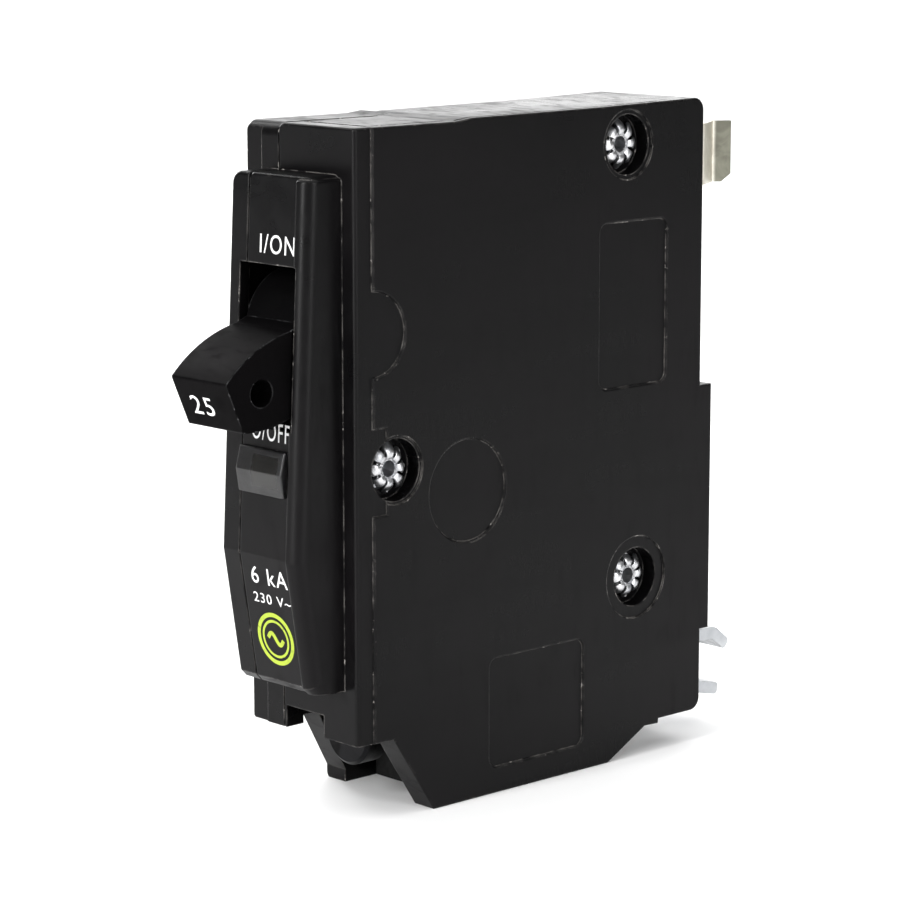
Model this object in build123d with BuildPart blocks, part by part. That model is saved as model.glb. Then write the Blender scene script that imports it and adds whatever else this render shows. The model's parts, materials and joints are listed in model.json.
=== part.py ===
from build123d import *
import math
import os

# Single-pole plug-on miniature circuit breaker, standing on its foot.
# X runs across the width, Y from the handle (-Y) to the plug-on jaw (+Y), Z up.
# The origin is under the middle of the overall box, on the plane of the foot.

# ---- Driving dimensions, in millimetres -------------------------------------------
half_width = 9.4
parting_x = -3.65          # the plane where cover and base meet
top_front = 78.2
top_step = 78.5            # the top face rises from here to the rear
top_middle = 78.68
top_rear = 79.05
depth_upper = 55.2         # front shoulder to upper rear wall
depth_middle = 57.2        # front shoulder to the stepped-out middle of the rear wall
depth_lower = 55.7
wall = 1.7
nose_half_width = 6.7
handle_tip = -14.85        # measured from the front shoulder, forwards is negative
jaw_end = 67.5
face = -(handle_tip + jaw_end) / 2     # y of the front shoulder

# Pivots, as (distance behind the front shoulder, height above the foot)
handle_pivot = (2.3, 55.5)
arm_pivot = (13.5, 49.0)
lever_pivot = (46.0, 48.0)
armature_pivot = (31.6, 24.0)
rivet_places = [(42.3, 74.1), (5.75, 40.1), (44.2, 22.2)]

pin_radius = 1.0
running_clearance = 0.05
arm_opening_angle = 12.0   # degrees between the open arm and the closed arm

# Wire lug and its pocket under the nose
pocket_half_width = 6.1
pocket_roof = 14.2
pocket_back = 30.5
screw_height = 8.0
screw_radius = 2.6

# A side view: local x is the distance behind the front shoulder, local y is height.
side = Plane(origin=(0, face, 0), x_dir=(0, 1, 0), z_dir=(1, 0, 0))
# A plan view: local x is the world's X, local y is the distance behind the shoulder.
plan = Plane(origin=(0, face, 0), x_dir=(1, 0, 0), z_dir=(0, 0, 1))

top_line = [(17.5, top_step), (38, top_middle), (depth_upper, top_rear)]
outline = [
    (0, 9.3), (0, top_front), (14.8, top_front), *top_line,
    (depth_upper, 44.3), (depth_middle, 44.3), (depth_middle, 13.9), (depth_lower, 13.9),
    (depth_lower, 3.9), (48.5, 3.9), (48.4, 3.3), (46.1, 3.4), (39.7, 0), (11.3, 0), (5.2, 9.3),
]
cavity = [
    (1.8, 15.8), (1.8, 76.4), (53.4, 76.9), (53.4, 5.7), (46.4, 5.2), (39.9, 1.8),
    (32.3, 1.8), (32.3, 15.8),
]
nose_outline = [(1, 73.0), (-4.2, 73.0), (-6.32, 30.7), (-4.02, 16.15), (-3.3, 15.4), (1, 15.4)]
nose_hollow = [(2, 71.6), (-2.85, 71.6), (-4.9, 30.8), (-2.7, 17.2), (2, 17.2)]

os.makedirs("parts", exist_ok=True)


def write(piece, label):
    """Label a finished piece and write its STEP file."""
    piece.label = label
    export_step(piece, f"parts/{label}.step")


def slab(points, x_low, x_high, mode=Mode.ADD):
    """Extrude a side-view outline from one width to another in the current part."""
    with BuildSketch(side.offset(x_low)) as profile:
        with BuildLine():
            Polyline(*points, close=True)
        make_face()
    extrude(profile.sketch, amount=x_high - x_low, mode=mode)


def disc(place, radius, x_low, x_high, mode=Mode.ADD):
    """Extrude a circle seen from the side from one width to another."""
    with BuildSketch(side.offset(x_low)) as profile:
        with Locations(place):
            Circle(radius)
    extrude(profile.sketch, amount=x_high - x_low, mode=mode)


def block(low, high, mode=Mode.ADD):
    """A box between two corners given as (x, distance behind the shoulder, height)."""
    middle = [(a + b) / 2 for a, b in zip(low, high)]
    size = [b - a for a, b in zip(low, high)]
    with Locations((middle[0], face + middle[1], middle[2])):
        Box(*size, mode=mode)


def rod(centre_x, height, radius, start, end, mode=Mode.ADD):
    """A round bar along Y between two distances behind the front shoulder."""
    end_plane = Plane(origin=(centre_x, face + start, height), x_dir=(1, 0, 0), z_dir=(0, 1, 0))
    with BuildSketch(end_plane) as profile:
        Circle(radius)
    extrude(profile.sketch, amount=end - start, mode=mode)


# ---- Housing ----------------------------------------------------------------------
inner_wall = half_width - wall            # x of the cavity's side walls
boss_radius = 4.3
boss_hole = 1.7
head_recess_radius = 3.55
head_recess_depth = 2.2
pivots = [handle_pivot, arm_pivot, lever_pivot, armature_pivot]
socket_radius = pin_radius + 0.02
opening_low, opening_high = 45.1, 63.1    # handle opening in the nose
opening_left, opening_right = -4.8, 5.3
window_low, window_high = 38.1, 42.3
window_left, window_right = -2.6, 3.8


def housing_openings():
    """Cuts that both halves of the housing share."""
    slab(cavity, -inner_wall, inner_wall, Mode.SUBTRACT)
    slab(nose_hollow, opening_left - 0.4, opening_right, Mode.SUBTRACT)
    block((opening_left, -12, opening_low), (opening_right, 0, opening_high), Mode.SUBTRACT)
    block((window_left, -12, window_low), (window_right, 0, window_high), Mode.SUBTRACT)
    # pocket of the wire lug, open below and at the slanted front between the side walls
    block((-pocket_half_width, 2.5, -1), (pocket_half_width, pocket_back, pocket_roof), Mode.SUBTRACT)
    # notch in the apron, for the screwdriver
    block((-3.2, -1, 9.0), (3.3, 3, 11.9), Mode.SUBTRACT)
    # slot in the pocket's roof for the load strap
    block((-4.0, 25.7, 14), (4.0, 27.8, 16), Mode.SUBTRACT)
    # slot in the rear wall for the line jaw, and two for the rail clip
    block((-4.4, 53, 67.5), (4.4, 56, 75.7), Mode.SUBTRACT)
    block((-4.2, 53, 10.5), (5.3, 58, 12.9), Mode.SUBTRACT)
    block((-4.2, 53, 5.1), (5.3, 58, 7.4), Mode.SUBTRACT)


def bosses(x_low, x_high, handle_boss):
    """Rivet bosses and the handle's bearing boss, between two widths."""
    for place in rivet_places:
        disc(place, boss_radius, x_low, x_high)
    disc(handle_pivot, 2.2, handle_boss[0], handle_boss[1])


def pin_sockets():
    """Blind sockets for the pivot pins and through holes for the rivets."""
    for place in pivots:
        disc(place, socket_radius, -inner_wall - 0.7, inner_wall + 0.7, Mode.SUBTRACT)
    for place in rivet_places:
        disc(place, boss_hole, -half_width - 1, half_width + 1, Mode.SUBTRACT)


with BuildPart() as base_nose:
    slab(nose_outline, parting_x, nose_half_width)
    fillet(base_nose.edges().group_by(Axis.X)[-1].filter_by(lambda e: e.center().Y < face), 1.0)
    # the panel's upper corner at the parting plane is rounded, then its whole front edge there
    fillet(base_nose.edges().group_by(Axis.X)[0].sort_by(Axis.Z)[-1], 0.8)
    panel_edges = base_nose.edges().filter_by(lambda e: e.center().Y < face - 3.3)
    fillet(panel_edges.filter_by(lambda e: e.center().X < parting_x + 0.6), 0.3)

# The bead is a bar along the panel's right edge, rounded far round to the side, with a soft upper end.
bead_left, bead_right = 4.7, nose_half_width + 0.25
bead_outline = [(1, 72.7), (-4.75, 72.7), (-6.85, 30.7), (-4.55, 16.15), (-3.8, 15.4), (1, 15.4)]
with BuildPart() as nose_bead:
    slab(bead_outline, bead_left, bead_right)
    front_edges = nose_bead.edges().filter_by(lambda e: e.center().Y < face - 3.3)
    fillet(front_edges.group_by(Axis.X)[-1], 1.7)
    front_edges = nose_bead.edges().filter_by(lambda e: e.center().Y < face - 3.3)
    fillet(front_edges.group_by(Axis.X)[0], 0.45)
    top_edges = nose_bead.faces().sort_by(Axis.Z)[-1].edges()
    fillet(top_edges.filter_by(lambda e: e.center().Y < face + 0.5), 0.4)

side_step = 0.3
with BuildPart() as base_shell:
    slab(outline, parting_x, half_width)
    rear_corners = base_shell.edges().filter_by(Axis.X).filter_by(lambda e: e.center().Y > face + 55)
    fillet([rear_corners.sort_by(Axis.Z)[-1], rear_corners.sort_by(Axis.Z)[0]], 1.5)
    # front strip and half disc, a step lower than the rest of the side face
    block((half_width - side_step, -1, 0), (half_width + 1, 2.35, 90), Mode.SUBTRACT)
    fillet(base_shell.edges().filter_by(Axis.Z).filter_by(
        lambda e: e.center().Y < face + 0.01 and e.center().X > half_width - 1), 0.5)
    disc((2.3, 55.5), 4.8, half_width - side_step, half_width + 1, Mode.SUBTRACT)
    block((half_width - side_step, 2, 35.2), (half_width + 1, 4.4, 45.0), Mode.SUBTRACT)
    # round and rectangular pads sunk in the side face
    disc((16.6, 36.4), 5.9, half_width - side_step, half_width + 1, Mode.SUBTRACT)
    for centre, size in (((43.4, 55.3), (11.3, 19.6)), ((27.7, 9.6), (15.3, 13.0))):
        with BuildSketch(side.offset(half_width - side_step)):
            with Locations(centre):
                RectangleRounded(size[0], size[1], 1.2)
        extrude(amount=1, mode=Mode.SUBTRACT)
    fillet(base_shell.edges().group_by(Axis.X)[-1], 0.2)
    # the front of the parting edge, and the start of the parting edge along the top
    parting_edges = base_shell.edges().group_by(Axis.X)[0].filter_by(lambda e: e.center().Y < face + 8)
    fillet(parting_edges.sort_by(Axis.Z)[-1], 0.9)
    front_edges = base_shell.edges().filter_by(lambda e: e.center().Y < face + 0.01)
    fillet(front_edges.filter_by(lambda e: e.center().X < parting_x + 0.7), 0.3)
    add(base_nose.part)
    add(nose_bead.part)
    housing_openings()
    bosses(parting_x, inner_wall + 0.5, (opening_right + 0.1, inner_wall + 0.5))
    pin_sockets()
    # wall that closes the nose under the handle's barrel
    block((parting_x, -1.6, 43.6), (opening_right + 0.2, -0.6, 47.3))
    # rib that anchors the armature spring
    block((-3.2, 38.2, 33.8), (inner_wall + 0.5, 39.4, 38.2))
    # recesses of the rivet heads, each with a shallow ring round it
    for place, ring in zip(rivet_places, (4.1, 3.9, 5.0)):
        disc(place, ring, half_width - 0.25, half_width + 1, Mode.SUBTRACT)
        disc(place, head_recess_radius, half_width - head_recess_depth, half_width + 1, Mode.SUBTRACT)
    # grooves in the top face behind the front lip and inside the side lip
    block((-2.4, 2.6, top_front - 0.5), (7.5, 3.2, top_front + 1), Mode.SUBTRACT)
    block((7.5, 2.6, top_front - 0.5), (7.9, 14.5, top_front + 1), Mode.SUBTRACT)
    slab([(15.2, top_step - 0.4), (15.2, 80), (48, 80), (48, top_middle - 0.2)], 8.35, 8.75, Mode.SUBTRACT)
write(base_shell.part, "base_shell")

with BuildPart() as cover_nose:
    slab(nose_outline, -nose_half_width, parting_x)
    fillet(cover_nose.edges().group_by(Axis.X)[0].sort_by(Axis.Z)[-1], 1.4)
    fillet(cover_nose.edges().filter_by(
        lambda e: e.center().Y < face - 3.3 and e.center().X < -nose_half_width + 0.7), 0.45)
    fillet(cover_nose.edges().group_by(Axis.X)[-1].filter_by(lambda e: e.center().Y < face - 3.3), 0.15)

with BuildPart() as cover_shell:
    slab(outline, -half_width, parting_x)
    long_edges = cover_shell.edges().filter_by(Axis.X)
    rear_corners = long_edges.filter_by(lambda e: e.center().Y > face + 55).sort_by(Axis.Z)
    front_corners = long_edges.filter_by(lambda e: e.center().Y < face + 1).sort_by(Axis.Z)
    fillet([rear_corners[-1], rear_corners[0], front_corners[-1]], 1.5)
    fillet(cover_shell.edges().group_by(Axis.X)[0], 0.4)
    # the cover's outer strip stands a step behind its inner strip
    block((-half_width - 1, -1, 0), (-6.6, 0.25, 90), Mode.SUBTRACT)
    add(cover_nose.part)
    housing_openings()
    bosses(-inner_wall - 0.5, parting_x, (-inner_wall - 0.5, opening_left - 0.5))
    pin_sockets()
    for place in rivet_places:
        disc(place, head_recess_radius, -half_width - 1, -half_width + 1.2, Mode.SUBTRACT)
    # the outer strip of the cover's top face is a step lower
    lowered = [(d, z - 0.45) for d, z in top_line]
    slab([*lowered, (56, top_rear), (56, 80), (14.6, 80)], -half_width - 1, -6.4, Mode.SUBTRACT)
    # the cover is cut away behind the foot's slanted front edge
    slab([(4, 0), (4, 9.3), (7.1, 9.3), (11.3, 1.5), (11.3, 0)], -half_width - 1, parting_x, Mode.SUBTRACT)
write(cover_shell.part, "cover_shell")

# ---- Rivets -------------------------------------------------------------------------
rivet_radius = 1.55
rivet_bore = 0.95
petal_count = 8
rivet_far = -half_width + 1.2            # seat of the factory head
rivet_near = half_width - head_recess_depth
with BuildPart() as rivets:
    for place in rivet_places:
        disc(place, rivet_radius, rivet_far - 0.3, rivet_near + 0.4)
        disc(place, 3.0, rivet_far - 0.8, rivet_far)
        disc(place, 1.4, rivet_near, rivet_near + 0.8)
        with BuildSketch(side.offset(rivet_near)):
            with Locations(place):
                with PolarLocations(1.75, petal_count):
                    Ellipse(0.95, 0.42)
        extrude(amount=0.5)
        disc(place, rivet_bore, rivet_near - 3, rivet_near + 1, Mode.SUBTRACT)
    # the factory heads are domed
    head_edges = rivets.edges().filter_by(GeomType.CIRCLE).group_by(Axis.X)[0]
    fillet(head_edges, 0.65)
write(rivets.part, "rivets")

# ---- Indicator window and red flag ----------------------------------------------------
# The lens stands on the nose's slope. It has a ridge across it and is hollow behind its pane.
lens_left, lens_right = -3.4, 4.35
lens_back = -4.3
lens_outline = [(-5.74, 42.8), (-6.25, 42.8), (-6.9, 40.3), (-6.5, 37.7), (-5.98, 37.7)]
pane_left, pane_right = -1.6, 4.1
pane_hollow = [(-4, 42.0), (-5.8, 42.0), (-6.35, 40.3), (-6.0, 38.4), (-4, 38.4)]
with BuildPart() as indicator_window:
    slab(lens_outline, lens_left, lens_right)
    fillet(indicator_window.edges().filter_by(lambda e: e.center().Y < face - 6.06), 0.15)
    block((window_left + 0.1, -6.0, window_low + 0.1), (window_right - 0.1, lens_back, window_high - 0.1))
    slab(pane_hollow, pane_left, min(pane_right, window_right - 0.7), Mode.SUBTRACT)
write(indicator_window.part, "indicator_window")

with BuildPart() as trip_flag:
    block((-2.2, -3.9, 31.4), (3.4, -3.1, 36.0))
    block((-1.2, -3.2, 31.4), (2.4, 0.8, 32.4))
write(trip_flag.part, "trip_flag")

# ---- Handle -----------------------------------------------------------------------
handle_left, handle_right = -4.45, 4.95
tie_hole = (-9.9, 49.9)
tie_hole_radius = 1.55
with BuildPart() as handle:
    with BuildSketch(side.offset(handle_left)):
        with Locations(handle_pivot):
            Circle(6.6)
        with BuildLine():
            Line((-3.0, 57.4), (-5.8, 56.3))
            ThreePointArc((-5.8, 56.3), (-11.0, 54.35), (handle_tip, 51.3))
            Line((handle_tip, 51.3), (-12.5, 45.8))
            ThreePointArc((-12.5, 45.8), (-9.0, 45.9), (-4.6, 47.3))
            Line((-4.6, 47.3), (2.0, 49.5))
            Line((2.0, 49.5), (-3.0, 57.4))
        make_face()
    extrude(amount=handle_right - handle_left)
    front_edges = handle.edges().filter_by(Axis.X).filter_by(lambda e: e.center().Y < face - 12)
    fillet(front_edges, 0.3)
    disc(handle_pivot, pin_radius + running_clearance, handle_left - 1, handle_right + 1, Mode.SUBTRACT)
    disc(tie_hole, tie_hole_radius, handle_left - 1, handle_right + 1, Mode.SUBTRACT)
    # the barrel is hollowed from behind, so that its walls are even
    block((handle_left + 1.6, 5.2, 50), (handle_right - 1.6, 12, 61), Mode.SUBTRACT)
write(handle.part, "handle")


def pin(place, x_low, x_high):
    """A pivot pin across the housing."""
    with BuildPart() as made:
        disc(place, pin_radius, x_low, x_high)
        chamfer(made.edges().filter_by(GeomType.CIRCLE), 0.2)
    return made.part


pin_end = inner_wall + 0.6
write(pin(handle_pivot, -pin_end, pin_end), "handle_pin")
write(pin(arm_pivot, -pin_end, pin_end), "arm_pin")
write(pin(lever_pivot, -pin_end, pin_end), "trip_lever_pin")
write(pin(armature_pivot, -pin_end, pin_end), "armature_pin")

# ---- Contact arm, shown open ---------------------------------------------------------
tilt = math.radians(arm_opening_angle)
arm_side = Plane(
    origin=(0, face + arm_pivot[0], arm_pivot[1]),
    x_dir=(0, math.cos(tilt), math.sin(tilt)),
    z_dir=(1, 0, 0),
)
arm_half = 1.1
arm_tip = 20.4              # from the pivot to the back of the moving contact's seat
contact_height = 15.0
spring_x = 5.3
arm_stud = (8.0, 7.2)
with BuildPart() as contact_arm:
    with BuildSketch(arm_side.offset(-arm_half)):
        Circle(3.0)
        with BuildLine():
            Polyline((-1.5, 2.4), (16.6, 17.4), (arm_tip, 17.4), (arm_tip, 12.4), (18.0, 12.4),
                     (2.4, -1.6), close=True)
        make_face()
    extrude(amount=2 * arm_half)
    with BuildSketch(arm_side.offset(arm_half)):
        with Locations(arm_stud):
            Circle(0.8)
    extrude(amount=spring_x + 1.2 - arm_half)
    disc(arm_pivot, pin_radius + running_clearance, -3, 3, Mode.SUBTRACT)
write(contact_arm.part, "contact_arm")

contact_radius = 2.2
contact_centre = arm_side.from_local_coords(Vector(arm_tip, contact_height, 0))
with BuildPart() as moving_contact:
    with BuildSketch(Plane(origin=contact_centre, x_dir=(1, 0, 0), z_dir=arm_side.x_dir)):
        Circle(contact_radius)
    extrude(amount=1.25)
    chamfer(moving_contact.edges().sort_by(Axis.Y)[-1], 0.3)
write(moving_contact.part, "moving_contact")

# ---- Line terminal, fixed contact and plug-on jaw --------------------------------------
seat_front = 36.6
jaw_low, jaw_high = 67.8, 75.3
with BuildPart() as line_jaw:
    for way in (-1, 1):
        with BuildSketch(plan.offset(jaw_low)):
            with BuildLine():
                Polyline((3.6 * way, 47.5), (3.6 * way, 61.0), (1.3 * way, 65.1), (2.75 * way, jaw_end - 0.25))
            trace(line_width=0.9)
        extrude(amount=jaw_high - jaw_low)
    cut_corner = [(66.0, jaw_low - 1), (66.0, jaw_low), (68.0, jaw_low + 2), (68.0, jaw_low - 1)]
    slab(cut_corner, -5, 5, Mode.SUBTRACT)
    block((-4.05, 47.0, jaw_low), (4.05, 48.2, jaw_high))
    block((-3, seat_front, 67.8), (3, 47.2, 69.0))
    block((-3, seat_front, 60.5), (3, 37.8, 69.0))
write(line_jaw.part, "line_jaw")

with BuildPart() as fixed_contact:
    rod(0, 64.0, 2.4, seat_front - 1.4, seat_front)
    chamfer(fixed_contact.edges().sort_by(Axis.Y)[0], 0.3)
write(fixed_contact.part, "fixed_contact")

# spring-steel clip that backs the jaw's two blades
with BuildPart() as jaw_spring:
    for way in (-1, 1):
        with BuildSketch(plan.offset(jaw_low + 1.6)):
            with BuildLine():
                Line((4.38 * way, 49.3), (4.38 * way, 52.8))
            trace(line_width=0.5)
        extrude(amount=4.2)
        bridge_ends = sorted((4.13 * way, 4.63 * way))
        block((bridge_ends[0], 49.3, jaw_low + 5.0), (bridge_ends[1], 52.6, jaw_high + 0.6))
    block((-4.63, 49.3, jaw_high + 0.15), (4.63, 52.6, jaw_high + 0.6))
write(jaw_spring.part, "jaw_spring")

# ---- Arc chute ------------------------------------------------------------------------
chute_low, chute_high = 71.4, 75.9
with BuildPart() as arc_plates:
    for number in range(6):
        start = 18.0 + 2.8 * number
        block((-5.0, start, chute_low), (5.0, start + 0.9, chute_high - 0.2))
        block((-1.7, start - 1, chute_low - 1), (1.7, start + 2, chute_low + 1.6), Mode.SUBTRACT)
write(arc_plates.part, "arc_plates")

with BuildPart() as arc_chute_frame:
    for way in (-1, 1):
        wall_left, wall_right = sorted((5.02 * way, 5.8 * way))
        block((wall_left, 16.8, chute_low - 0.4), (wall_right, 34.2, chute_high))
    block((-5.8, 33.4, chute_low - 0.4), (5.8, 34.2, chute_high))
write(arc_chute_frame.part, "arc_chute_frame")

# ---- Trip lever -------------------------------------------------------------------------
lever_low_x, lever_high_x = 1.8, 3.4
lever_stud = (40.0, 48.5)
with BuildPart() as trip_lever:
    disc(lever_pivot, 3.2, lever_low_x, lever_high_x)
    slab([(46, 51.2), (38, 51.0), (33.4, 47.0), (32.7, 44.2), (34.4, 44.2), (36.6, 46.4), (46, 44.9)],
         lever_low_x, lever_high_x)
    disc(lever_stud, 0.8, lever_high_x, spring_x + 1.2)
    disc(lever_pivot, pin_radius + running_clearance, 0, 5, Mode.SUBTRACT)
write(trip_lever.part, "trip_lever")


def coil(start, end, coil_radius, wire_radius, pitch):
    """A helical spring between two points, made by sweeping its wire along a helix."""
    run = Vector(*end) - Vector(*start)
    with BuildPart() as made:
        with BuildLine() as path:
            Helix(pitch=pitch, height=run.length, radius=coil_radius, center=start, direction=run)
        with BuildSketch(Plane(origin=path.line @ 0, z_dir=path.line % 0)):
            Circle(wire_radius)
        sweep(is_frenet=True)
    return made.part


stud_place = arm_side.from_local_coords(Vector(arm_stud[0], arm_stud[1], spring_x))
lever_place = side.from_local_coords(Vector(lever_stud[0], lever_stud[1], spring_x))
along = (lever_place - stud_place).normalized()
spring_start = stud_place + along * 1.4
spring_end = lever_place - along * 1.4
write(coil(tuple(spring_start), tuple(spring_end), 1.4, 0.35, 1.3), "operating_spring")

# ---- Thermal and magnetic trip ------------------------------------------------------------
strap_front, strap_back = 26.1, 27.3
bimetal_top = 44.0
with BuildPart() as bimetal:
    block((-3, strap_front, 22.4), (3, strap_back - 0.2, bimetal_top))
write(bimetal.part, "bimetal")

yoke_low, yoke_high = 28.0, 38.0
with BuildPart() as magnet_yoke:
    block((-4.5, 24.0, yoke_low), (4.5, 25.2, yoke_high))
    for way in (-1, 1):
        block((min(3.3 * way, 4.5 * way), 25, yoke_low), (max(3.3 * way, 4.5 * way), 29.9, yoke_high))
write(magnet_yoke.part, "magnet_yoke")

with BuildPart() as armature:
    block((-4.3, 31.0, 24.0), (4.3, 32.2, 41.5))
    block((1.6, 31.0, 41.0), (3.6, 32.2, 43.6))
    for way in (-1, 1):
        disc(armature_pivot, 1.8, min(2.9 * way, 4.3 * way), max(2.9 * way, 4.3 * way))
    block((-2.9, 30.4, 22), (2.9, 33, 26.2), Mode.SUBTRACT)
    disc(armature_pivot, pin_radius + running_clearance, -6, 6, Mode.SUBTRACT)
write(armature.part, "armature")

armature_spring_height = 36.0
armature_spring_ends = [(-1.0, face + depth, armature_spring_height) for depth in (32.6, 37.8)]
write(coil(*armature_spring_ends, 1.1, 0.22, 0.9), "armature_spring")

with BuildPart() as calibration_screw:
    rod(0, 19.6, 1.3, 24.0, 33.0)
    rod(0, 19.6, 2.2, 33.0, 34.4)
    block((-3, 33.9, 19.25), (3, 35, 19.95), Mode.SUBTRACT)
write(calibration_screw.part, "calibration_screw")

# ---- Load terminal --------------------------------------------------------------------------
with BuildPart() as load_strap:
    block((-3.6, strap_front, 1.0), (3.6, strap_back, 17.2))
    block((-3.0, strap_front, 17.0), (3.0, strap_back, 22.4))
    rod(0, 19.6, 1.3 + running_clearance, 20, 30, Mode.SUBTRACT)
write(load_strap.part, "load_strap")

lug_front, lug_back = 15.0, 30.0
lug_low, lug_high = 0.5, 13.6
wire_front, wire_back = 18.4, 27.4
with BuildPart() as wire_lug:
    block((-5.4, lug_front, lug_low), (5.4, lug_back, lug_high))
    chamfer(wire_lug.edges().filter_by(Axis.Z), 0.6)
    block((-4.0, wire_front, lug_low - 1), (4.0, wire_back, lug_high + 1), Mode.SUBTRACT)
    rod(0, screw_height, screw_radius + running_clearance, lug_front - 1, wire_front + 1, Mode.SUBTRACT)
write(wire_lug.part, "wire_lug")

with BuildPart() as lug_screw:
    rod(0, screw_height, screw_radius, 9.2, 18.5)
    rod(0, screw_height, 3.7, 6.2, 9.4)
    chamfer(lug_screw.edges().sort_by(Axis.Y)[0], 0.4)
    block((-4, 5, screw_height - 0.6), (4, 7.5, screw_height + 0.6), Mode.SUBTRACT)
write(lug_screw.part, "lug_screw")

with BuildPart() as lug_pad:
    block((-3.5, 18.6, 2.0), (3.5, 19.7, 12.4))
    chamfer(lug_pad.edges().filter_by(Axis.X), 0.25)
write(lug_pad.part, "lug_pad")

# ---- Flexible braid between the arm and the bimetal ---------------------------------------------
braid_radius = 1.0
braid_x = -2.3
braid_route = [(strap_front + 0.5, bimetal_top), (26.6, 50.0), (21.5, 53.5), (16.2, 52.0)]
with BuildPart() as braid:
    with BuildLine(side.offset(braid_x)) as braid_line:
        FilletPolyline(*braid_route, radius=2.6)
    with BuildSketch(Plane(origin=braid_line.line @ 0, z_dir=braid_line.line % 0)):
        Circle(braid_radius)
    sweep()
write(braid.part, "braid")

# ---- Rail clip -----------------------------------------------------------------------------------
clip_thickness = 1.5
clip_line = [(65.4, 9.6), (63.0, 11.5), (51.4, 11.8), (51.4, 6.5), (57.4, 6.2), (60.6, 4.9), (63.8, 4.2)]
with BuildPart() as rail_clip:
    with BuildSketch(side.offset(-4.0)):
        with BuildLine():
            FilletPolyline(*clip_line, radius=0.9)
        trace(line_width=clip_thickness)
    extrude(amount=9.0)
    clip_tips = rail_clip.edges().filter_by(Axis.X).filter_by(lambda e: e.center().Y > face + 62.8)
    fillet(clip_tips, 0.5)
write(rail_clip.part, "rail_clip")
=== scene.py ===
import json
import math
import random

import bmesh
import bpy
from mathutils import Matrix, Vector


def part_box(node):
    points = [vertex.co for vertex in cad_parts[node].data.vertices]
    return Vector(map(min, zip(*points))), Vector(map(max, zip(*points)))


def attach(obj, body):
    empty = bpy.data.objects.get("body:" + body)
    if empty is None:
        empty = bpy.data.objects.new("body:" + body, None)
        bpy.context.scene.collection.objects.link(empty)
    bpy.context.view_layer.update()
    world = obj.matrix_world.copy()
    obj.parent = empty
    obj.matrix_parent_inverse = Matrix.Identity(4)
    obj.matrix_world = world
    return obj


# A plug-on miniature circuit breaker. X runs across its width, Y from the handle (-Y) to the jaw
# (+Y), and Z up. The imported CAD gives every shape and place. This script adds the printed marks,
# the rivets' flared ends, the materials, the floor, the lights and the camera, all in metres.

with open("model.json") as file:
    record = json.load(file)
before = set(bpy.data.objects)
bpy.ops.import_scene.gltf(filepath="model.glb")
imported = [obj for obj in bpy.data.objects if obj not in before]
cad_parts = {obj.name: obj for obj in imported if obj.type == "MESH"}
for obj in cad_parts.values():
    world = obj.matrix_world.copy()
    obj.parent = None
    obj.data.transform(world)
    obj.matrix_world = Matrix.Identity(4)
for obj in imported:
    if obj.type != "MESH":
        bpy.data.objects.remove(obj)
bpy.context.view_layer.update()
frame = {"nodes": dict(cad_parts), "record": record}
nodes = frame["nodes"]
MM = 0.001

# Depths are counted from the front shoulder of the housing, and heights from its foot.
HOUSING_DEPTH = 57.2 * MM
FACE_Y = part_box("base_shell")[1].y - HOUSING_DEPTH
MOUTH_Y = FACE_Y + 65.2 * MM
PANE = {"X": (-0.8 * MM, 3.6 * MM), "Z": (38.6 * MM, 42.1 * MM)}
TONE_STEP = 0.3 * MM
PANE_STEP = 0.2 * MM

BLACK = (0.0019, 0.0018, 0.002)
HANDLE_BLACK = (0.0017, 0.0017, 0.0018)
RUBBED_AND_HIGHLIGHT_HOUSING = (0.11, 0.104, 0.098)
RUBBED_AND_HIGHLIGHT_HANDLE = (0.03, 0.03, 0.031)
GRAIN_SCALE = 5200

NOSE_TOP = Vector((0, FACE_Y - 4.2 * MM, 73.0 * MM))
NOSE_BREAK = Vector((0, FACE_Y - 6.32 * MM, 30.7 * MM))
NOSE_FOOT = Vector((0, FACE_Y - 4.02 * MM, 16.15 * MM))
HANDLE_TIP = Vector((0, FACE_Y - 14.85 * MM, 51.3 * MM))
HANDLE_CHIN = Vector((0, FACE_Y - 12.5 * MM, 45.8 * MM))

INK_HEIGHT = 0.02 * MM
LETTER_WEIGHT = 0.002
LETTER_SPACING = 1.16
SWITCH_TEXT = 2.1 * MM

# A rivet's flared end. Its radii are in millimetres, and its shares run from the neck to the tip.
PETALS = 8
NECK = 1.0
REACH = (2.75, 3.25)
LEAN = (-0.16, 0.16)
WIDENS_FROM, WIDENS_OVER, WIDENS_BY = 0.25, 0.4, 0.3
TIP_FROM, TIP_OVER, TIP_BLUNT = 0.66, 0.34, 0.06
NECK_DEPTH = 1.4 * MM
PETAL_THICKNESS = 0.26 * MM
WELD = 0.02 * MM
SEAT_X = 7.2
RIVETS = {"upper": (42.3, 74.1), "middle": (5.75, 40.1), "lower": (44.2, 22.2)}

ROOM_LIGHT = 0.15
BACKDROP_LIGHT = 0.95
AIM = (0, 0, 0.04)
STRIP = (0.15, 0.6)
LENS = 127.32
SENSOR = 36.0


def toned(colour, share):
    """A colour with every channel multiplied."""
    return tuple(channel * share for channel in colour)


# ---- Material building blocks -------------------------------------------------------------------


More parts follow.
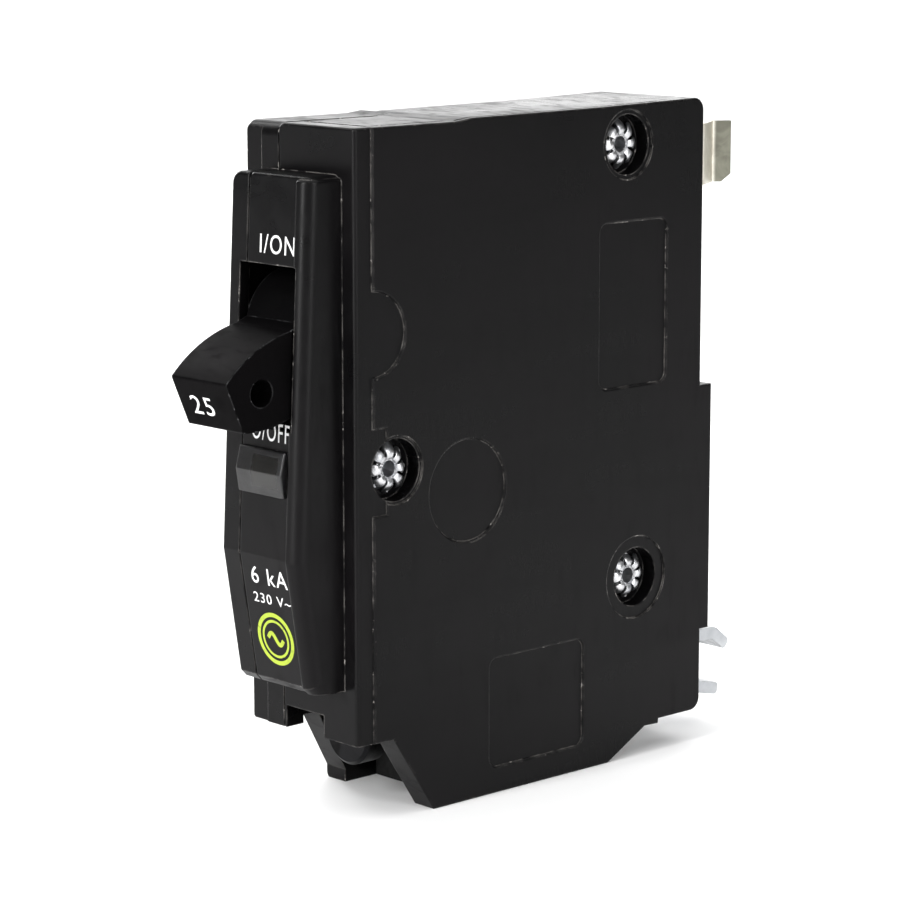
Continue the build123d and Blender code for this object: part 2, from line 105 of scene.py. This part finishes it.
class Shader:
    """One node material, with short calls for its patterns, which read object coordinates."""

    def __init__(self, name, colour, roughness, metallic=0.0):
        self.material = bpy.data.materials.new(name)
        self.material.use_nodes = True
        self.tree = self.material.node_tree
        self.surface = self.tree.nodes["Principled BSDF"]
        self.surface.inputs["Base Color"].default_value = (*colour, 1)
        self.surface.inputs["Roughness"].default_value = roughness
        self.surface.inputs["Metallic"].default_value = metallic
        self.height = None
        self.coordinates = self.tree.nodes.new("ShaderNodeTexCoord").outputs["Object"]

    def node(self, kind, **settings):
        made = self.tree.nodes.new(kind)
        for key, value in settings.items():
            setattr(made, key, value)
        return made

    def link(self, output, target):
        self.tree.links.new(output, target)

    def stretched(self, scale, turn=(0, 0, 0)):
        """Object coordinates scaled by a different amount along each axis."""
        mapping = self.node("ShaderNodeMapping")
        mapping.inputs["Scale"].default_value = scale
        mapping.inputs["Rotation"].default_value = turn
        self.link(self.coordinates, mapping.inputs["Vector"])
        return mapping.outputs["Vector"]

    def noise(self, scale, detail=4.0, vector=None, distortion=0.0):
        made = self.node("ShaderNodeTexNoise")
        made.inputs["Scale"].default_value = scale
        made.inputs["Detail"].default_value = detail
        made.inputs["Distortion"].default_value = distortion
        self.link(vector or self.coordinates, made.inputs["Vector"])
        return made.outputs["Fac"]

    def cells(self, scale):
        made = self.node("ShaderNodeTexVoronoi", feature="F1")
        made.inputs["Scale"].default_value = scale
        self.link(self.coordinates, made.inputs["Vector"])
        return made.outputs["Distance"]

    def between(self, value, low, high, out_low=0.0, out_high=1.0):
        """The value taken from one range to another, and held at the ends."""
        made = self.node("ShaderNodeMapRange", interpolation_type="SMOOTHSTEP")
        made.inputs["From Min"].default_value = low
        made.inputs["From Max"].default_value = high
        made.inputs["To Min"].default_value = out_low
        made.inputs["To Max"].default_value = out_high
        self.link(value, made.inputs["Value"])
        return made.outputs["Result"]

    def combine(self, kind, first, second):
        made = self.node("ShaderNodeMath", operation=kind)
        for socket, value in zip(made.inputs, (first, second)):
            if isinstance(value, (int, float)):
                socket.default_value = value
            else:
                self.link(value, socket)
        return made.outputs["Value"]

    def mix(self, amount, first, second):
        """A colour between two others, each a colour or a node's output."""
        made = self.node("ShaderNodeMix", data_type="RGBA")
        self.link(amount, made.inputs["Factor"])
        for socket, value in ((made.inputs["A"], first), (made.inputs["B"], second)):
            if isinstance(value, tuple):
                socket.default_value = (*value, 1)
            else:
                self.link(value, socket)
        return made.outputs["Result"]

    def colour(self, output):
        self.link(output, self.surface.inputs["Base Color"])

    def roughness(self, output):
        self.link(output, self.surface.inputs["Roughness"])

    def bump(self, output, distance, strength=1.0):
        """Adds a height pattern on top of those already there."""
        made = self.node("ShaderNodeBump")
        made.inputs["Strength"].default_value = strength
        made.inputs["Distance"].default_value = distance
        self.link(output, made.inputs["Height"])
        if self.height is not None:
            self.link(self.height, made.inputs["Normal"])
        self.height = made.outputs["Normal"]
        self.link(self.height, self.surface.inputs["Normal"])

    def soft_edges(self, radius):
        """Rounds the shading of sharp edges, as a mould's radii do. It comes before any bump."""
        made = self.node("ShaderNodeBevel", samples=6)
        made.inputs["Radius"].default_value = radius
        self.height = made.outputs["Normal"]
        self.link(self.height, self.surface.inputs["Normal"])

    def axis(self, letter):
        """One of the object coordinates."""
        split = self.node("ShaderNodeSeparateXYZ")
        self.link(self.coordinates, split.inputs["Vector"])
        return split.outputs[letter]

    def sharp_edge_mask(self, radius, low=0.003, high=0.05):
        """Where a surface turns sharply outwards or inwards: 1 on the edge and 0 on flat ground."""
        bevel = self.node("ShaderNodeBevel", samples=6)
        bevel.inputs["Radius"].default_value = radius
        geometry = self.node("ShaderNodeNewGeometry")
        dot = self.node("ShaderNodeVectorMath", operation="DOT_PRODUCT")
        self.link(bevel.outputs["Normal"], dot.inputs[0])
        self.link(geometry.outputs["Normal"], dot.inputs[1])
        turned = self.combine("SUBTRACT", 1.0, dot.outputs["Value"])
        return self.between(turned, low, high)


def moulded(name, colour, rubbed_and_highlight_colour, base_roughness, gloss):
    """Satin black moulding: fine grain, faint flow and handling marks, and paler rubbed edges.
    Its pale edge chips are partly real chips and partly a painted highlight.
    """
    made = Shader(name, colour, base_roughness)
    made.soft_edges(0.24 * MM)
    grain = made.noise(GRAIN_SCALE, 3)
    cloud = made.noise(120, 5)
    broad = made.noise(32, 3, None, 0.8)
    flow = made.noise(90, 4, made.stretched((1.0, 0.35, 2.6)), 0.6)
    smear = made.noise(260, 6, made.stretched((1, 3.2, 0.5), (0.3, 0.2, 0.6)), 1.4)
    edge = made.sharp_edge_mask(0.22 * MM)
    rubbed = made.combine("MULTIPLY", edge, made.between(made.noise(700, 5), 0.38, 0.68))
    tone = made.mix(made.between(cloud, 0.3, 0.7), toned(colour, 0.86), toned(colour, 1.16))
    warm = tuple(c * share for c, share in zip(colour, (1.55, 1.4, 1.45)))
    tone = made.mix(made.between(broad, 0.38, 0.66), tone, warm)
    # Pale chips on the edges, three times paler than the rubbed colour: partly real chips, partly a
    # painted highlight.
    chips_and_highlight = made.combine("MULTIPLY", edge, made.between(made.noise(1300, 3), 0.62, 0.7))
    made.colour(made.mix(chips_and_highlight, made.mix(rubbed, tone, rubbed_and_highlight_colour), toned(rubbed_and_highlight_colour, 3.2)))
    marks = made.between(smear, 0.45, 0.72, 0, 0.14)
    uneven = made.between(flow, 0.3, 0.7, base_roughness - 0.05, base_roughness + 0.05)
    patches = made.between(broad, 0.35, 0.68, -0.04, 0.07)
    matt = made.combine("ADD", made.combine("ADD", uneven, marks), patches)
    made.roughness(made.combine("SUBTRACT", matt, made.combine("MULTIPLY", edge, 0.08)))
    made.bump(grain, 0.010 * MM, 0.55)
    made.bump(flow, 0.05 * MM, 0.25)
    made.surface.inputs["Specular IOR Level"].default_value = gloss
    return made.material


def plated(name, colour, shade, base_roughness, brushed=(1, 1, 1)):
    """Plating: cloudy passivation, fine drawn or rolled lines, and small pits."""
    made = Shader(name, colour, base_roughness, 1.0)
    made.soft_edges(0.08 * MM)
    cloud = made.noise(420, 6, None, 0.8)
    lines = made.noise(1400, 4, made.stretched(brushed))
    pits = made.between(made.cells(3600), 0.05, 0.2, 1, 0)
    made.colour(made.mix(made.between(cloud, 0.35, 0.7), colour, shade))
    uneven = made.between(cloud, 0.3, 0.75, base_roughness - 0.06, base_roughness + 0.12)
    made.roughness(made.combine("ADD", uneven, made.combine("MULTIPLY", pits, 0.12)))
    made.bump(lines, 0.02 * MM, 0.6)
    made.bump(pits, 0.01 * MM, 0.4)
    return made.material


def tinned(name):
    """Tin plate on the jaw: creamy on the blades, and dark grey on the mouth beyond MOUTH_Y as a
    painted shade.
    """
    made = Shader(name, (0.8, 0.77, 0.7), 0.4, 1.0)
    made.soft_edges(0.08 * MM)
    cloud = made.noise(420, 6, None, 0.8)
    lines = made.noise(1400, 4, made.stretched((2, 0.6, 3)))
    mouth = made.between(made.axis("Y"), MOUTH_Y - TONE_STEP, MOUTH_Y + TONE_STEP)
    amount = made.between(cloud, 0.35, 0.7)
    cream = made.mix(amount, (0.86, 0.83, 0.74), (0.72, 0.68, 0.59))
    # Painted shade: the tin on the mouth is coloured dark grey for the shade that falls on its
    # faces.
    grey = made.mix(amount, (0.17, 0.168, 0.135), (0.12, 0.118, 0.096))
    made.colour(made.mix(mouth, cream, grey))
    made.roughness(made.between(cloud, 0.3, 0.75, 0.34, 0.56))
    made.bump(lines, 0.02 * MM, 0.6)
    return made.material


def painted_white(name):
    """White powder coat: orange peel, a grey bloom, and a few rubbed spots down to the steel."""
    made = Shader(name, (0.78, 0.79, 0.8), 0.34)
    made.soft_edges(0.15 * MM)
    peel = made.noise(1500, 3)
    bloom = made.noise(260, 5)
    chips = made.between(made.noise(900, 6), 0.7, 0.76)
    patchy = made.between(made.noise(1100, 4), 0.5, 0.66)
    edge = made.combine("MULTIPLY", made.sharp_edge_mask(0.3 * MM), patchy)
    bare = made.combine("MAXIMUM", chips, edge)
    white = made.mix(made.between(bloom, 0.35, 0.7), (0.5, 0.515, 0.535), (0.36, 0.375, 0.395))
    made.colour(made.mix(bare, white, (0.3, 0.3, 0.31)))
    made.link(bare, made.surface.inputs["Metallic"])
    made.roughness(made.between(bloom, 0.3, 0.7, 0.26, 0.42))
    made.bump(peel, 0.02 * MM, 0.5)
    made.bump(bare, -0.03 * MM, 0.6)
    return made.material


def printed(name, colour, base):
    """Pad-printed ink: nearly flat, with thin spots where the moulding shows through."""
    made = Shader(name, colour, 0.5)
    thin = made.between(made.noise(2600, 4), 0.58, 0.74, 0, 0.55)
    uneven = made.between(made.noise(900, 3), 0.35, 0.7)
    inked = made.mix(uneven, colour, toned(colour, 0.86))
    made.colour(made.mix(thin, inked, base))
    made.roughness(made.between(made.noise(1500, 3), 0.3, 0.7, 0.42, 0.6))
    made.bump(made.noise(GRAIN_SCALE, 3), 0.006 * MM, 0.5)
    return made.material


def smoky_lens(name):
    """Smoky clear plastic: a dark polished pane in a paler, duller frame, with faint scratches."""
    made = Shader(name, (0.06, 0.058, 0.056), 0.08)
    made.soft_edges(0.2 * MM)
    haze = made.noise(500, 4)
    scratches = made.noise(900, 3, made.stretched((0.25, 1, 6), (0, 0.5, 0)))
    bands = []
    for letter, (low, high) in PANE.items():
        place = made.axis(letter)
        above = made.between(place, low - PANE_STEP, low + PANE_STEP)
        below = made.between(place, high + PANE_STEP, high - PANE_STEP)
        bands.append(made.combine("MULTIPLY", above, below))
    pane = made.combine("MULTIPLY", *bands)
    cloud = made.between(haze, 0.3, 0.7)
    pane_tone = made.mix(cloud, (0.05, 0.048, 0.045), (0.03, 0.029, 0.027))
    frame_tone = made.mix(cloud, (0.04, 0.0395, 0.041), (0.024, 0.0235, 0.0245))
    made.colour(made.mix(pane, frame_tone, pane_tone))
    polish = made.between(scratches, 0.42, 0.7, 0.06, 0.24)
    made.roughness(made.combine("ADD", polish, made.between(pane, 0, 1, 0.24, 0)))
    made.bump(scratches, 0.004 * MM, 0.5)
    made.surface.inputs["Transmission Weight"].default_value = 0.75
    made.surface.inputs["IOR"].default_value = 1.49
    made.surface.inputs["Specular IOR Level"].default_value = 0.3
    return made.material


def red_flag(name):
    """Red moulded flag, satin, with fine grain."""
    made = Shader(name, (0.62, 0.03, 0.016), 0.45)
    cloud = made.noise(300, 4)
    made.colour(made.mix(made.between(cloud, 0.3, 0.7), (0.68, 0.035, 0.02), (0.5, 0.02, 0.012)))
    made.roughness(made.between(made.noise(700, 4), 0.3, 0.7, 0.36, 0.55))
    made.bump(made.noise(4200, 3), 0.012 * MM, 0.6)
    return made.material


def fibre_board(name):
    """Vulcanised fibre: pressed brown board with short fibres."""
    made = Shader(name, (0.42, 0.25, 0.13), 0.7)
    strands = made.noise(900, 7, made.stretched((1, 4, 0.7), (0.4, 0.1, 0)), 2.2)
    made.colour(made.mix(made.between(strands, 0.35, 0.65), (0.48, 0.3, 0.16), (0.3, 0.17, 0.085)))
    made.roughness(made.between(strands, 0.3, 0.7, 0.6, 0.82))
    made.bump(strands, 0.03 * MM, 0.6)
    return made.material


def braided(name):
    """Braided copper: two crossing sets of fine wires, dark in the gaps."""
    made = Shader(name, (0.72, 0.34, 0.2), 0.36, 1.0)
    sets = []
    for turn in (0.7, -0.7):
        waves = made.node("ShaderNodeTexWave", wave_type="BANDS", bands_direction="Y")
        waves.inputs["Scale"].default_value = 900
        waves.inputs["Distortion"].default_value = 0.4
        made.link(made.stretched((1, 1, 1), (turn, 0, 0)), waves.inputs["Vector"])
        sets.append(waves.outputs["Fac"])
    weave = made.combine("MAXIMUM", *sets)
    tarnish = made.between(made.noise(300, 5), 0.35, 0.7)
    bright = made.mix(tarnish, (0.78, 0.38, 0.23), (0.48, 0.2, 0.12))
    made.colour(made.mix(made.between(weave, 0.2, 0.75), (0.1, 0.04, 0.025), bright))
    made.roughness(made.between(weave, 0.1, 0.9, 0.6, 0.3))
    made.bump(weave, 0.08 * MM, 0.9)
    return made.material


finishes = {
    "housing": moulded("housing_moulding", BLACK, RUBBED_AND_HIGHLIGHT_HOUSING, 0.31, 0.115),
    "handle_plastic": moulded("handle_moulding", HANDLE_BLACK, RUBBED_AND_HIGHLIGHT_HANDLE, 0.42, 0.012),
    "zinc_steel": plated("zinc_plate", (0.7, 0.7, 0.71), (0.42, 0.43, 0.45), 0.34, (1, 1, 4)),
    "smoky_lens": smoky_lens("smoky_lens"),
    "red_flag": red_flag("red_flag"),
    "steel": plated("bright_steel", (0.58, 0.59, 0.6), (0.42, 0.43, 0.45), 0.26, (0.2, 3, 3)),
    "copper": plated("rolled_copper", (0.78, 0.4, 0.26), (0.5, 0.22, 0.13), 0.34, (1, 1, 5)),
    "silver_contact": plated(
        "silver_alloy", (0.82, 0.81, 0.79), (0.55, 0.54, 0.52), 0.32, (2, 1, 2)),
    "tinned_copper": tinned("tin_plate"),
    "fibre": fibre_board("vulcanised_fibre"),
    "spring_steel": plated("spring_wire", (0.5, 0.51, 0.52), (0.34, 0.35, 0.36), 0.3, (2, 1, 1)),
    "bimetal": plated("bimetal_strip", (0.62, 0.58, 0.5), (0.5, 0.4, 0.28), 0.36, (4, 4, 0.5)),
    "brass": plated("turned_brass", (0.74, 0.55, 0.26), (0.52, 0.36, 0.15), 0.32, (1, 6, 1)),
    # Painted shade: the lug's tin and the screw's steel are coloured near-black for the shadow in
    # the lug's pocket.
    "lug_metal": plated("lug_tin_painted_shade", (0.025, 0.025, 0.025), (0.012, 0.012, 0.012), 0.5, (1, 3, 1)),
    "blackened_steel": plated(
        "blackened_steel", (0.012, 0.012, 0.013), (0.006, 0.006, 0.006), 0.5, (1, 5, 1)),
    "braided_copper": braided("braided_copper"),
    "white_clip": painted_white("white_coat"),
}

for row in frame["record"]["subparts"]:
    shown = nodes[row["node"]]
    shown.data.materials.clear()
    shown.data.materials.append(finishes[row["material_slot"]])


# ---- Printed marks ------------------------------------------------------------------------------
WHITE_INK = printed("white_ink", (0.78, 0.78, 0.78), BLACK)
LIME_INK = printed("lime_ink", (0.36, 0.47, 0.02), BLACK)


def seat(origin, down):
    """A flat place to print on: its X is the object's X, and its own -Y runs along `down`."""
    across = Vector((1, 0, 0))
    up = -Vector(down).normalized()
    turn = Matrix((across, up, across.cross(up))).transposed().to_4x4()
    return Matrix.Translation(origin) @ turn


def finish_mark(mark, material, body):
    mark.data.materials.clear()
    mark.data.materials.append(material)
    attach(mark, body)


def lettering(name, text, place, height, width, material, body):
    """Flat raised lettering, scaled to an overall height and width and centred on its place."""
    curve = bpy.data.curves.new(name + "_text", "FONT")
    curve.body = text
    curve.extrude = 0.5
    curve.offset = LETTER_WEIGHT
    curve.space_character = LETTER_SPACING
    curve.resolution_u = 6
    writer = bpy.data.objects.new(name + "_writer", curve)
    bpy.context.scene.collection.objects.link(writer)
    bpy.context.view_layer.update()
    shown_writer = writer.evaluated_get(bpy.context.evaluated_depsgraph_get())
    mesh = bpy.data.meshes.new_from_object(shown_writer)
    bpy.data.objects.remove(writer)
    low = [min(v.co[i] for v in mesh.vertices) for i in range(2)]
    high = [max(v.co[i] for v in mesh.vertices) for i in range(2)]
    middle = Vector(((low[0] + high[0]) / 2, (low[1] + high[1]) / 2, 0))
    shares = (width / (high[0] - low[0]), height / (high[1] - low[1]), INK_HEIGHT, 1)
    mesh.transform(place @ Matrix.Diagonal(shares) @ Matrix.Translation(-middle))
    mark = bpy.data.objects.new(name, mesh)
    bpy.context.scene.collection.objects.link(mark)
    finish_mark(mark, material, body)


def outline_mark(name, strips, place, material, body):
    """A flat raised mark of strips, each given as two matching edges and whether it is closed."""
    shape = bmesh.new()
    for first, second, closed in strips:
        rings = []
        for level in (-0.5, 0.5):
            for edge in (first, second):
                points = [place @ Vector((x, y, level * INK_HEIGHT)) for x, y in edge]
                rings.append([shape.verts.new(point) for point in points])
        low_a, low_b, high_a, high_b = rings
        pairs = ((high_a, high_b), (low_b, low_a), (high_b, low_b), (low_a, high_a))
        count = len(first)
        for i in range(count if closed else count - 1):
            k = (i + 1) % count
            for a, b in pairs:
                shape.faces.new((a[i], b[i], b[k], a[k]))
        if not closed:
            for i in (0, -1):
                shape.faces.new((low_a[i], low_b[i], high_b[i], high_a[i]))
    bmesh.ops.recalc_face_normals(shape, faces=shape.faces)
    mesh = bpy.data.meshes.new(name)
    shape.to_mesh(mesh)
    shape.free()
    mark = bpy.data.objects.new(name, mesh)
    bpy.context.scene.collection.objects.link(mark)
    finish_mark(mark, material, body)


def circle(radius, count=72):
    angles = [2 * math.pi * i / count for i in range(count)]
    return [(radius * math.cos(angle), radius * math.sin(angle)) for angle in angles]


def ring(outer, thickness):
    """The two edges of a closed ring."""
    return circle(outer - thickness), circle(outer), True


def wave(length, height, thickness, count=28):
    """The two edges of an open S-shaped wave, a steady distance apart."""
    first, second = [], []
    for i in range(count + 1):
        phase = 2 * math.pi * i / count
        slope = height * 2 * math.pi / length * math.cos(phase)
        across = Vector((-slope, 1)).normalized() * thickness / 2
        point = Vector((length * (i / count - 0.5), height * math.sin(phase)))
        first.append(tuple(point - across))
        second.append(tuple(point + across))
    return first, second, False


def on_nose(x, z):
    """A place on the nose's front at a width and a height."""
    top, foot = (NOSE_TOP, NOSE_BREAK) if z > NOSE_BREAK.z else (NOSE_BREAK, NOSE_FOOT)
    share = (top.z - z) / (top.z - foot.z)
    point = top.lerp(foot, share)
    return seat(Vector((x, point.y, z)), foot - top)


def on_handle(x, share):
    """A place on the handle's front face, by its share of the way down."""
    point = HANDLE_TIP.lerp(HANDLE_CHIN, share)
    return seat(Vector((x, point.y, point.z)), HANDLE_CHIN - HANDLE_TIP)


on_place = on_nose(1.5 * MM, 65.35 * MM)
off_place = on_nose(1.25 * MM, 44.75 * MM)
rating_place = on_handle(-0.65 * MM, 0.54)
breaking_place = on_nose(1.1 * MM, 28.35 * MM)
voltage_place = on_nose(1.1 * MM, 25.7 * MM)
current_place = on_nose(0.8 * MM, 21.1 * MM)
lettering("mark_on", "I/ON", on_place, SWITCH_TEXT, 5.9 * MM, WHITE_INK, "housing")
lettering("mark_off", "O/OFF", off_place, SWITCH_TEXT, 6.4 * MM, WHITE_INK, "housing")
lettering("mark_rating", "25", rating_place, 2.3 * MM, 3.7 * MM, WHITE_INK, "handle")
lettering("mark_breaking", "6 kA", breaking_place, 2.0 * MM, 6.2 * MM, WHITE_INK, "housing")
lettering("mark_voltage", "230 V~", voltage_place, 1.15 * MM, 6.4 * MM, WHITE_INK, "housing")
current_sign = [
    ring(3.1 * MM, 0.5 * MM),
    ring(2.25 * MM, 0.3 * MM),
    wave(2.6 * MM, 0.62 * MM, 0.5 * MM),
]
outline_mark("mark_current", current_sign, current_place, LIME_INK, "housing")


# ---- Rivets' flared ends ------------------------------------------------------------------------
def petal_point(share, aside, radius_out, lean):
    """A point of one curled petal along +Y, by its share of the way out and from -1 to 1 across."""
    base = NECK * math.tan(math.pi / PETALS)
    spread = min(1.0, max(0.0, (share - WIDENS_FROM) / WIDENS_OVER))
    tip = max(0.0, (share - TIP_FROM) / TIP_OVER)
    rounding = math.sqrt(max(TIP_BLUNT, 1 - tip * tip))
    half = (base + WIDENS_BY * spread * spread * (3 - 2 * spread)) * rounding
    reach = NECK + share * (radius_out - NECK) - 0.12 * aside * aside * share
    lift = 0.62 + 0.5 * math.sin(math.pi * min(1.0, share * 1.1 + 0.08)) - 0.5 * share ** 3
    fold = -0.3 * aside * aside * share + lean * aside * share
    return Vector((lift + fold, reach, aside * half + lean * share * 0.5))


def flared_end(name, centre, shapes):
    """A tubular rivet's split and rolled end: curled petals, each with its own reach and lean."""
    along, aside = 8, 6
    shape = bmesh.new()
    neck = []
    for number, (reach, lean) in enumerate(shapes):
        turn = Matrix.Rotation(2 * math.pi * number / PETALS, 3, "X")
        rows = []
        for i in range(along + 1):
            sides = [2 * j / aside - 1 for j in range(aside + 1)]
            points = [petal_point(i / along, side, reach, lean) * MM for side in sides]
            rows.append([shape.verts.new(centre + turn @ point) for point in points])
        for inner, outer in zip(rows, rows[1:]):
            for j in range(aside):
                shape.faces.new((inner[j], outer[j], outer[j + 1], inner[j + 1]))
        bottom = centre.x - NECK_DEPTH
        sunk = [shape.verts.new(Vector((bottom, vert.co.y, vert.co.z))) for vert in rows[0]]
        for j in range(aside):
            shape.faces.new((sunk[j], rows[0][j], rows[0][j + 1], sunk[j + 1]))
        neck += rows[0] + sunk
    bmesh.ops.remove_doubles(shape, verts=neck, dist=WELD)
    bmesh.ops.recalc_face_normals(shape, faces=shape.faces)
    mesh = bpy.data.meshes.new(name)
    shape.to_mesh(mesh)
    shape.free()
    for polygon in mesh.polygons:
        polygon.use_smooth = True
    end = bpy.data.objects.new(name, mesh)
    bpy.context.scene.collection.objects.link(end)
    thick = end.modifiers.new("thickness", "SOLIDIFY")
    thick.thickness = PETAL_THICKNESS
    thick.offset = 0
    smooth = end.modifiers.new("smooth", "SUBSURF")
    smooth.levels = smooth.render_levels = 2
    end.data.materials.append(finishes["zinc_steel"])
    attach(end, "housing")


chance = random.Random(5)
for place_name, (depth, height) in RIVETS.items():
    shapes = [(chance.uniform(*REACH), chance.uniform(*LEAN)) for _ in range(PETALS)]
    centre = Vector((SEAT_X * MM, FACE_Y + depth * MM, height * MM))
    flared_end("rivet_end_" + place_name, centre, shapes)


# ---- Floor, lights and camera -------------------------------------------------------------------
def studio_floor():
    bpy.ops.mesh.primitive_plane_add(size=5.0)
    floor = bpy.context.object
    floor.name = "floor"
    made = Shader("pale_floor", (0.93, 0.93, 0.93), 0.6)
    broad = made.between(made.noise(3, 3), 0.3, 0.7)
    made.colour(made.mix(broad, (0.94, 0.94, 0.94), (0.92, 0.92, 0.92)))
    floor.data.materials.append(made.material)


def studio_world():
    """A backdrop that is white to the camera but lights the object only dimly."""
    world = bpy.data.worlds.new("studio")
    bpy.context.scene.world = world
    world.use_nodes = True
    tree = world.node_tree
    room = tree.nodes["Background"]
    room.inputs["Strength"].default_value = ROOM_LIGHT
    seen = tree.nodes.new("ShaderNodeBackground")
    seen.inputs["Strength"].default_value = BACKDROP_LIGHT
    for background in (room, seen):
        background.inputs["Color"].default_value = (1.0, 1.0, 1.0, 1)
    path = tree.nodes.new("ShaderNodeLightPath")
    either = tree.nodes.new("ShaderNodeMixShader")
    tree.links.new(path.outputs["Is Camera Ray"], either.inputs["Fac"])
    tree.links.new(room.outputs["Background"], either.inputs[1])
    tree.links.new(seen.outputs["Background"], either.inputs[2])
    tree.links.new(either.outputs["Shader"], tree.nodes["World Output"].inputs["Surface"])


def soft_box(name, place, target, size, power):
    light = bpy.data.lights.new(name, "AREA")
    light.shape = "RECTANGLE"
    light.size, light.size_y = size
    light.energy = power
    lamp = bpy.data.objects.new(name, light)
    lamp.location = place
    lamp.rotation_euler = (Vector(target) - Vector(place)).to_track_quat("-Z", "Y").to_euler()
    bpy.context.scene.collection.objects.link(lamp)


def photo_camera():
    """The camera fitted to the object's straight edges, in this frame."""
    data = bpy.data.cameras.new("photo_camera")
    data.sensor_width = SENSOR
    data.lens = LENS
    data.clip_start = 0.01
    data.clip_end = 20
    camera = bpy.data.objects.new("photo_camera", data)
    right = Vector((0.68102084, 0.73226333, -0.00100962))
    up = Vector((-0.12842312, 0.12079348, 0.98433553))
    back = Vector((0.72091477, -0.67022336, 0.17630242))
    turn = Matrix((right, up, back)).transposed().to_4x4()
    camera.matrix_world = Matrix.Translation(Vector((267.577, -252.579, 104.538)) * MM) @ turn
    bpy.context.scene.collection.objects.link(camera)
    bpy.context.scene.camera = camera


studio_floor()
studio_world()
soft_box("overhead_box", (-0.25, 0.3, 1.3), (-0.25, 0.3, 0), (2.4, 2.4), 31.0)
soft_box("back_box", (-2.4, 2.2, 0.9), AIM, (3.0, 1.6), 35.0)
soft_box("front_strip", (0.0, -0.9, 0.35), AIM, STRIP, 11.0)
soft_box("right_strip", (0.95, -0.1, 0.35), AIM, STRIP, 6.0)
soft_box("left_strip", (-0.95, 0.15, 0.35), AIM, STRIP, 7.0)
photo_camera()
bpy.context.scene.view_settings.view_transform = "Standard"
